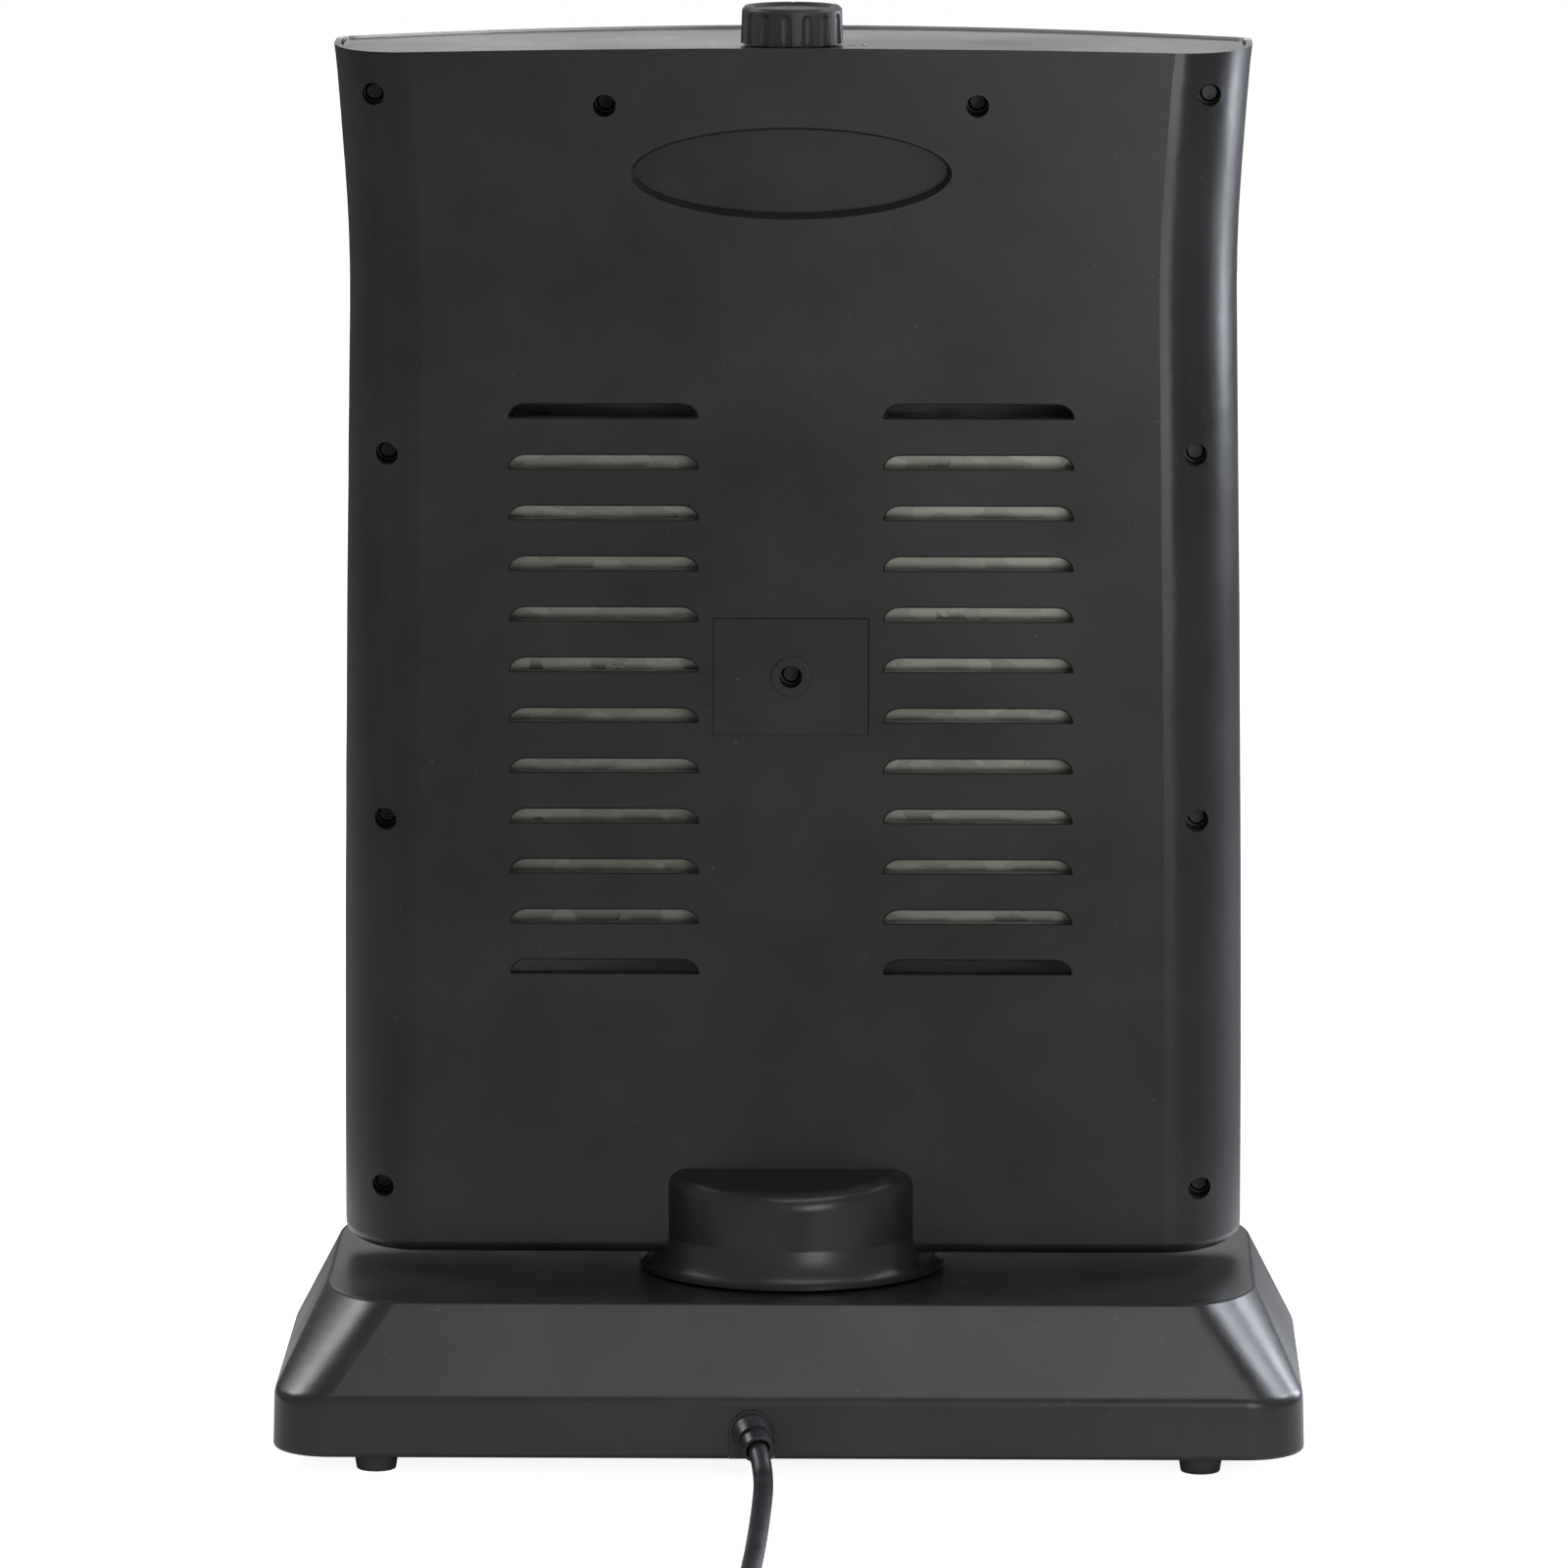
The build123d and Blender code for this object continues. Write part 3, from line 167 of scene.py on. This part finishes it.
def painted(name, color, rough, flake=0.0, metallic=0.0, orange=0.00003):
    """Paint: faint orange peel, and flake where it is metallic."""
    mat, tree, shader = new_material(name)
    broad = noise(tree, 22, 4, 0.55)
    dark = tuple(c * 0.86 for c in color)
    base = mix(tree, ramp(tree, broad, 0.3, 0.7), dark, color)
    if flake:
        spark = cells(tree, 5200, output="Color")
        tint = add(tree, "SeparateXYZ")
        tree.links.new(spark, tint.inputs[0])
        glint = ramp(tree, tint.outputs[0], 0.2, 1.0, 0, flake)
        base = mix(tree, glint, base, tuple(min(1, c * 1.5) for c in color))
    tree.links.new(base, shader.inputs["Base Color"])
    gloss = ramp(tree, broad, 0.2, 0.8, rough - 0.05, rough + 0.06)
    tree.links.new(gloss, shader.inputs["Roughness"])
    shader.inputs["Metallic"].default_value = metallic
    bump(tree, shader, noise(tree, 900, 2, 0.5), 0.35, orange)
    return mat


def metal(name, color, rough, grain=(1, 1, 1), depth=0.00002, stain=0.2, scale=700):
    """Bare or plated metal with a rolled or turned grain and slight staining."""
    mat, tree, shader = new_material(name)
    lines = noise(tree, scale, 3, 0.6, grain)
    broad = noise(tree, 30, 4, 0.6)
    dull = tuple(c * (1 - stain) for c in color)
    base = mix(tree, ramp(tree, broad, 0.35, 0.7), color, dull)
    tree.links.new(base, shader.inputs["Base Color"])
    shader.inputs["Metallic"].default_value = 1.0
    stained = ramp(tree, broad, 0.3, 0.7, rough - 0.03, rough + 0.06)
    gloss = math_node(tree, "ADD", stained, ramp(tree, lines, 0.3, 0.7, 0, 0.08))
    tree.links.new(gloss, shader.inputs["Roughness"])
    bump(tree, shader, lines, 0.4, depth)
    return mat


def galvanised(name):
    """Hot-dipped sheet: flat crystals of differing brightness, with a green-grey cast."""
    mat, tree, shader = new_material(name)
    flakes = add(tree, "TexVoronoi", Scale=85.0)
    warp = noise(tree, 60, 3, 0.6)
    spot = coords(tree, (1.0, 0.4, 1.4))
    shift = add(tree, "MixRGB")
    shift.inputs[0].default_value = 0.02
    tree.links.new(spot, shift.inputs[1])
    tree.links.new(warp, shift.inputs[2])
    tree.links.new(shift.outputs[0], flakes.inputs["Vector"])
    tone = add(tree, "SeparateXYZ")
    tree.links.new(flakes.outputs["Color"], tone.inputs[0])
    crystal = ramp(tree, tone.outputs[0], 0.0, 1.0)
    base = mix(tree, crystal, (0.32, 0.315, 0.272), (0.44, 0.435, 0.375))
    rust = ramp(tree, noise(tree, 40, 5, 0.7), 0.62, 0.75, 0, 0.35)
    tree.links.new(mix(tree, rust, base, (0.28, 0.20, 0.13)), shader.inputs["Base Color"])
    shader.inputs["Metallic"].default_value = 1.0
    tree.links.new(ramp(tree, tone.outputs[1], 0.0, 1.0, 0.26, 0.44), shader.inputs["Roughness"])
    bump(tree, shader, tone.outputs[2], 0.15, 0.00005)
    return mat


def rubber(name, color, rough):
    """Soft sheath or foot: very fine pebble, dull, with handling marks."""
    mat, tree, shader = new_material(name)
    broad = noise(tree, 60, 4, 0.6)
    light = tuple(c * 1.6 + 0.01 for c in color)
    base = mix(tree, ramp(tree, broad, 0.35, 0.75), color, light)
    gloss = ramp(tree, broad, 0.3, 0.7, rough - 0.06, rough + 0.08)
    tree.links.new(base, shader.inputs["Base Color"])
    tree.links.new(gloss, shader.inputs["Roughness"])
    pebble = math_node(tree, "ADD", noise(tree, 2400, 2, 0.6), cells(tree, 1300))
    bump(tree, shader, pebble, 0.35, 0.00005)
    return mat


def quartz_glass(name):
    """Clear tube with slight haze and drawing lines along its length."""
    mat, tree, shader = new_material(name)
    shader.inputs["Base Color"].default_value = (0.97, 0.97, 0.96, 1)
    shader.inputs["Transmission Weight"].default_value = 1.0
    shader.inputs["IOR"].default_value = 1.46
    haze = noise(tree, 90, 4, 0.6, (0.15, 1, 1))
    tree.links.new(ramp(tree, haze, 0.35, 0.75, 0.03, 0.22), shader.inputs["Roughness"])
    bump(tree, shader, noise(tree, 200, 2, 0.5, (0.2, 1, 1)), 0.2, 0.00005)
    return mat


def ceramic(name):
    """Unglazed steatite of the tube holders."""
    mat, tree, shader = new_material(name)
    broad = noise(tree, 80, 4, 0.6)
    base = mix(tree, ramp(tree, broad, 0.3, 0.7), (0.80, 0.78, 0.71), (0.66, 0.63, 0.56))
    tree.links.new(base, shader.inputs["Base Color"])
    tree.links.new(ramp(tree, broad, 0.2, 0.8, 0.42, 0.62), shader.inputs["Roughness"])
    bump(tree, shader, noise(tree, 1800, 3, 0.6), 0.4, 0.00005)
    return mat


def cast_iron(name):
    """Rough sand-cast surface."""
    mat, tree, shader = new_material(name)
    broad = noise(tree, 160, 6, 0.7)
    base = mix(tree, ramp(tree, broad, 0.3, 0.7), (0.05, 0.05, 0.055), (0.14, 0.13, 0.12))
    tree.links.new(base, shader.inputs["Base Color"])
    shader.inputs["Metallic"].default_value = 0.6
    tree.links.new(ramp(tree, broad, 0.2, 0.8, 0.5, 0.8), shader.inputs["Roughness"])
    bump(tree, shader, broad, 0.8, 0.0004)
    return mat


def braid(name, color, bands=45.0):
    """Woven sleeve or tape: two crossing sets of bands."""
    mat, tree, shader = new_material(name)
    waves = []
    for sign in (1, -1):
        wave = add(tree, "TexWave", Scale=bands)
        wave.bands_direction = "DIAGONAL"
        tree.links.new(coords(tree, (1, 1, sign)), wave.inputs["Vector"])
        waves.append(wave.outputs[1])
    weave = math_node(tree, "MULTIPLY", waves[0], waves[1])
    dark = tuple(c * 0.55 for c in color)
    tree.links.new(mix(tree, weave, dark, color), shader.inputs["Base Color"])
    shader.inputs["Roughness"].default_value = 0.8
    bump(tree, shader, weave, 0.8, 0.0002)
    return mat


MATERIALS = {
    "black_plastic": moulded(
        "housing_black", (0.0125, 0.0120, 0.0120), 0.30, depth=0.00003, dust=0.18
    ),
    "silver_plastic": painted(
        "frame_silver", (0.60, 0.59, 0.60), 0.30, flake=0.12, metallic=0.75, orange=0.000015
    ),
    "knob_plastic": moulded(
        "knob_black", (0.020, 0.0195, 0.019), 0.44, grain=2200, depth=0.00004, dust=0.15
    ),
    "chrome_wire": metal("guard_chrome", (0.78, 0.78, 0.79), 0.08, stain=0.12),
    "bright_aluminium": metal(
        "reflector_bright", (0.88, 0.88, 0.86), 0.10, (0.02, 1, 1), stain=0.15
    ),
    "galvanised_steel": galvanised("galvanised_sheet"),
    "black_steel": painted("floor_plate_black", (0.020, 0.020, 0.021), 0.42),
    "cast_iron": cast_iron("ballast_iron"),
    "screw_steel": metal("zinc_plate", (0.60, 0.60, 0.55), 0.30, stain=0.25),
    "black_screws": metal("black_oxide", (0.06, 0.06, 0.062), 0.38, stain=0.3),
    "quartz": quartz_glass("quartz"),
    "heating_wire": metal("oxidised_wire", (0.22, 0.18, 0.15), 0.55, stain=0.4),
    "ceramic": ceramic("steatite"),
    "switch_black": moulded("phenolic_black", (0.030, 0.028, 0.027), 0.35, dust=0.1),
    "terminal_plastic": moulded("nylon_natural", (0.62, 0.58, 0.48), 0.40, dust=0.05),
    "gear_plastic": moulded("acetal_natural", (0.70, 0.69, 0.63), 0.38, dust=0.05),
    "loom_sleeve": braid("glass_braid", (0.66, 0.64, 0.58)),
    "cord_rubber": rubber("cord_sheath", (0.014, 0.014, 0.017), 0.40),
    "tie_plastic": braid("tie_fabric", (0.05, 0.05, 0.05), 80.0),
    "plug_plastic": moulded("plug_black", (0.028, 0.028, 0.030), 0.42, grain=1800, dust=0.12),
    "plug_pins": metal("plug_nickel", (0.72, 0.69, 0.62), 0.22, stain=0.15),
    "foot_rubber": rubber("foot_rubber", (0.035, 0.034, 0.033), 0.62),
}
SLOT_OF = {entry["node"]: entry["material_slot"] for entry in RECORD["subparts"]}


def dress(obj, mat):
    """Give an object one material in all its slots."""
    if not obj.material_slots:
        obj.data.materials.append(mat)
    for slot in obj.material_slots:
        slot.material = mat


for node, slot_name in SLOT_OF.items():
    dress(bpy.data.objects[node], MATERIALS[slot_name])


# ------------------------------------------------------------------ camera, floor and light
def look_at(obj, target):
    way = Vector(target) - obj.location
    obj.rotation_euler = way.to_track_quat("-Z", "Y").to_euler()


def soft_light(name, spot, target, size, power, color=(1, 1, 1)):
    data = bpy.data.lights.new(name, "AREA")
    data.shape = "RECTANGLE"
    data.size, data.size_y = size
    data.energy = power
    data.color = color
    lamp = bpy.data.objects.new(name, data)
    bpy.context.collection.objects.link(lamp)
    lamp.location = spot
    look_at(lamp, target)
    lamp.visible_camera = False
    return lamp


VIEW_TARGET = Vector((0.0030, 0.0, 0.246))
VIEW_RISE = math.radians(9.0)
VIEW_TURN = math.radians(1.0)
VIEW_DISTANCE = 4.2
SENSOR_WIDTH = 36.0
LENS = 255.15
CLIP_END = 50

camera_data = bpy.data.cameras.new("camera")
camera_data.sensor_width = SENSOR_WIDTH
camera_data.lens = LENS
camera_data.clip_end = CLIP_END
camera = bpy.data.objects.new("camera", camera_data)
bpy.context.collection.objects.link(camera)
view_reach = VIEW_DISTANCE * math.cos(VIEW_RISE)
camera.location = VIEW_TARGET + Vector(
    (
        -view_reach * math.sin(VIEW_TURN),
        view_reach * math.cos(VIEW_TURN),
        VIEW_DISTANCE * math.sin(VIEW_RISE),
    )
)
look_at(camera, VIEW_TARGET)
bpy.context.scene.camera = camera


FLOOR_HALF = 6.0
FLOOR_GLOW = 0.90
FLOOR_PALE = ((0.86, 0.86, 0.86), (0.88, 0.88, 0.88))
FLOOR_DIM = (0.20, 0.20, 0.21)  # how light and reflections see the ring between near and far
FLOOR_CLOSE = (0.36, 0.62)  # pale up to the first distance, dim from the second
FLOOR_FAR = (0.5, 2.4)  # dim up to the first distance, pale from the second
FLOOR_BEHIND = (-0.4, 0.6)  # and only on the camera's side


def floor():
    """Pale floor. Only the camera sees it white all over."""
    mesh = bpy.data.meshes.new("floor")
    grid = bmesh.new()
    bmesh.ops.create_grid(grid, x_segments=1, y_segments=1, size=FLOOR_HALF)
    grid.to_mesh(mesh)
    grid.free()
    obj = bpy.data.objects.new("floor", mesh)
    bpy.context.collection.objects.link(obj)
    mat, tree, shader = new_material("studio_floor")
    pale = mix(tree, ramp(tree, noise(tree, 1.5, 2), 0.3, 0.7), *FLOOR_PALE)
    reach = add(tree, "VectorMath")
    reach.operation = "LENGTH"
    tree.links.new(coords(tree), reach.inputs[0])
    distance = reach.outputs["Value"]
    split = add(tree, "SeparateXYZ")
    tree.links.new(coords(tree), split.inputs[0])
    behind = ramp(tree, split.outputs[1], *FLOOR_BEHIND)
    far = math_node(tree, "MULTIPLY", ramp(tree, distance, *FLOOR_FAR), behind)
    close = ramp(tree, distance, *FLOOR_CLOSE, 1.0, 0.0)
    lit = math_node(tree, "MAXIMUM", far, close)
    ray = add(tree, "LightPath")
    seen = math_node(tree, "MAXIMUM", lit, ray.outputs["Is Camera Ray"])
    tree.links.new(mix(tree, seen, FLOOR_DIM, pale), shader.inputs["Base Color"])
    shader.inputs["Roughness"].default_value = 0.9
    shader.inputs["Emission Color"].default_value = (1, 1, 1, 1)
    glow = math_node(tree, "MULTIPLY", ray.outputs["Is Camera Ray"], FLOOR_GLOW)
    tree.links.new(glow, shader.inputs["Emission Strength"])
    mesh.materials.append(mat)
    return obj


floor()

ROOM_DEPTH = (0.15, 0.50)  # brightness far behind the front, and far behind the camera
ROOM_TOP = 0.65  # the room is this much dimmer overhead


def studio_world():
    """White to the camera; to other rays a dim room, lighter behind the heater than before it."""
    world = bpy.data.worlds.new("studio")
    bpy.context.scene.world = world
    world.use_nodes = True
    tree = world.node_tree
    for node in list(tree.nodes):
        tree.nodes.remove(node)
    out = tree.nodes.new("ShaderNodeOutputWorld")
    split = add(tree, "SeparateXYZ")
    tree.links.new(add(tree, "TexCoord").outputs["Generated"], split.inputs[0])
    depth = ramp(tree, split.outputs[1], -0.9, 0.9, *ROOM_DEPTH)
    sky = ramp(tree, split.outputs[2], 0.15, 0.9, 1.0, ROOM_TOP)
    level = math_node(tree, "MULTIPLY", depth, sky)
    ray = add(tree, "LightPath")
    room = add(tree, "Background")
    strength = math_node(tree, "MAXIMUM", level, ray.outputs["Is Camera Ray"])
    tree.links.new(strength, room.inputs["Strength"])
    room.inputs["Color"].default_value = (1, 1, 1, 1)
    tree.links.new(room.outputs[0], out.inputs[0])


studio_world()
bpy.context.scene.view_settings.view_transform = "Standard"

CENTRE = (0, 0, 0.28)
LOW = (0, 0, 0.06)
COOL = (0.86, 0.91, 1.0)
CARD_WHITE = (0.95, 0.97, 1.0)
soft_light("overhead", (-0.30, 0.85, 1.9), LOW, (1.3, 0.45), 5.0)
soft_light("wing_right", (-1.4, -0.45, 1.35), LOW, (0.7, 0.7), 20, COOL)
soft_light("wing_left", (1.4, -0.45, 1.35), LOW, (0.7, 0.7), 13)
soft_light("rim_right", (-1.3, -1.1, 0.62), CENTRE, (0.35, 0.7), 12.0, COOL)
soft_light("rim_left", (1.3, -1.0, 0.98), CENTRE, (0.3, 0.7), 1.2)
soft_light("backdrop", (0.0, -2.4, 0.95), CENTRE, (1.8, 0.5), 3.4)
soft_light("card", (-0.50, 1.35, 0.42), CENTRE, (0.5, 0.5), 3.6, CARD_WHITE)


# ------------------------------------------------------------------ mains lead
CORD_D = 0.0075
FLOOR_LINE = 0.00385
CORD_POINTS = [
    (0.01222, 0.10677, 0.01577),
    (0.0098, 0.1146, 0.0119),
    (0.0085, 0.1230, 0.0054),
    (0.0082, 0.1370, FLOOR_LINE),
    (0.0083, 0.1660, FLOOR_LINE),
    (0.0087, 0.2040, FLOOR_LINE),
    (0.0095, 0.2460, FLOOR_LINE),
    (0.0109, 0.2900, FLOOR_LINE),
    (0.0132, 0.3300, FLOOR_LINE),
    (0.0156, 0.3540, FLOOR_LINE),
]
COIL_CENTRE = (-0.0335, 0.3800)
COIL_START = -11.0
TOP_LAYER = 0.01125
COIL_STEP = 22.0  # degrees between the coil's points
# turn angle in degrees, radius and height of the lead's centreline in the coil
COIL_KEYS = [
    (0, 0.0505, FLOOR_LINE),
    (150, 0.0505, FLOOR_LINE),
    (870, 0.0355, FLOOR_LINE),
    (990, 0.0356, TOP_LAYER),
    (1710, 0.0505, TOP_LAYER),
    (1876, 0.0505, TOP_LAYER),
]
CORD_TAIL = [
    (-0.0290, 0.4318, 0.01190),
    (-0.0400, 0.4321, 0.01350),
    (-0.0500, 0.4325, 0.01540),
    (-0.0575, 0.4333, 0.01610),
]


def coil_point(turn):
    """Place of the lead's centreline after a turn in degrees."""
    for (a, r0, z0), (b, r1, z1) in zip(COIL_KEYS, COIL_KEYS[1:]):
        if turn <= b:
            share = (turn - a) / (b - a)
            r = r0 + (r1 - r0) * share
            z = z0 + (z1 - z0) * share
            break
    way = math.radians(COIL_START + turn)
    return (COIL_CENTRE[0] + r * math.cos(way), COIL_CENTRE[1] + r * math.sin(way), z)


def spline_curve(name, points, radius, resolution=6):
    data = bpy.data.curves.new(name, "CURVE")
    data.dimensions = "3D"
    data.bevel_depth = radius
    data.bevel_resolution = 6
    data.resolution_u = resolution
    data.use_fill_caps = True
    spline = data.splines.new("NURBS")
    spline.points.add(len(points) - 1)
    for target, point in zip(spline.points, points):
        target.co = (*point, 1.0)
    spline.order_u = 3
    spline.use_endpoint_u = True
    obj = bpy.data.objects.new(name, data)
    bpy.context.collection.objects.link(obj)
    return obj


def mains_lead():
    """Lead from the gland to the plug: the seen run, the coil put away and a short tail."""
    last_turn = COIL_KEYS[-1][0]
    steps = round(last_turn / COIL_STEP)
    coil = [coil_point(last_turn * k / steps) for k in range(steps + 1)]
    lead = spline_curve("mains_lead", CORD_POINTS + coil + CORD_TAIL, CORD_D / 2)
    lead.data.materials.append(MATERIALS["cord_rubber"])
    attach(lead, "base")
    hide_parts("mains_cord", "cord_coil")
    return lead


mains_lead()


# ------------------------------------------------------------------ wound heating wires
WIRE_ROWS = {"lower": 0.220, "middle": 0.285, "upper": 0.350}
WIRE_Y = -0.026
WIRE_R = 0.00035
WINDING_R = 0.0032
WINDING_PITCH = 0.0026
WINDING_HALF = 0.111
WIRE_END = 0.1365
STEPS_PER_TURN = 8
TAIL_GAP = 0.004
SAG = 0.0002
SAG_WAVE = 0.013


def heating_wire(row, z):
    """Self-supporting wound wire with a straight tail to each holder."""
    turns = round(2 * WINDING_HALF / WINDING_PITCH)
    count = turns * STEPS_PER_TURN
    points = [(-WIRE_END, WIRE_Y, z), (-WINDING_HALF - TAIL_GAP, WIRE_Y, z)]
    for k in range(count + 1):
        way = 2 * math.pi * k / STEPS_PER_TURN
        sag = SAG * math.sin(k * SAG_WAVE + z * 40)
        x = -WINDING_HALF + 2 * WINDING_HALF * k / count
        y = WIRE_Y + WINDING_R * math.cos(way)
        points.append((x, y, z + sag + WINDING_R * math.sin(way)))
    points += [(WINDING_HALF + TAIL_GAP, WIRE_Y, z), (WIRE_END, WIRE_Y, z)]
    wire = spline_curve(f"heating_wire_{row}", points, WIRE_R, 2)
    wire.data.bevel_resolution = 1
    wire.data.materials.append(MATERIALS["heating_wire"])
    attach(wire, "head")
    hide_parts(f"heating_coil_{row}")


for wire_row, wire_z in WIRE_ROWS.items():
    heating_wire(wire_row, wire_z)


# ------------------------------------------------------------------ marks round the control
DIAL_Y = -0.002
DIAL_TOP = 0.5257
DIAL_STEP = 45.0
POSITIONS = 4
TICK_R = 0.0222
TICK_LENGTH = 0.0030
TICK_WIDTH = 0.0007
DIGIT_R = 0.0272
DIGIT_SIZE = 0.0046
PRINT = 0.00012


def print_white(name):
    """Slightly worn pad print."""
    mat, tree, shader = new_material(name)
    wear = noise(tree, 900, 4, 0.6)
    base = mix(tree, ramp(tree, wear, 0.4, 0.7), (0.62, 0.61, 0.58), (0.74, 0.73, 0.70))
    tree.links.new(base, shader.inputs["Base Color"])
    tree.links.new(ramp(tree, wear, 0.3, 0.7, 0.45, 0.6), shader.inputs["Roughness"])
    bump(tree, shader, wear, 0.2, 0.00002)
    return mat


def dial_marks():
    """Printed tick and numeral at each of the control's positions."""
    marks = bmesh.new()
    middle = DIAL_TOP + PRINT / 2
    for k in range(POSITIONS):
        way = math.radians(-90 - DIAL_STEP * k)
        turn = Matrix.Rotation(way, 4, "Z")
        tick = bmesh.ops.create_cube(marks, size=1.0)["verts"]
        shape = Matrix.Diagonal((TICK_LENGTH, TICK_WIDTH, PRINT, 1.0))
        spot = Matrix.Translation((TICK_R, 0, 0))
        place = Matrix.Translation((0, DIAL_Y, middle))
        bmesh.ops.transform(marks, matrix=place @ turn @ spot @ shape, verts=tick)
        letter = bpy.data.curves.new("digit", "FONT")
        letter.body = str(k)
        letter.size = DIGIT_SIZE
        letter.extrude = PRINT / 2
        letter.align_x = "CENTER"
        letter.align_y = "CENTER"
        holder = bpy.data.objects.new("digit", letter)
        bpy.context.collection.objects.link(holder)
        bpy.context.view_layer.update()
        digit = holder.to_mesh()
        shift = Vector((DIGIT_R * math.cos(way), DIAL_Y + DIGIT_R * math.sin(way), middle))
        digit.transform(Matrix.Translation(shift))
        marks.from_mesh(digit)
        holder.to_mesh_clear()
        bpy.data.objects.remove(holder)
        bpy.data.curves.remove(letter)
    mesh = bpy.data.meshes.new("dial_marks")
    marks.to_mesh(mesh)
    marks.free()
    obj = bpy.data.objects.new("dial_marks", mesh)
    bpy.context.collection.objects.link(obj)
    mesh.materials.append(print_white("print_white"))
    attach(obj, "head")


dial_marks()
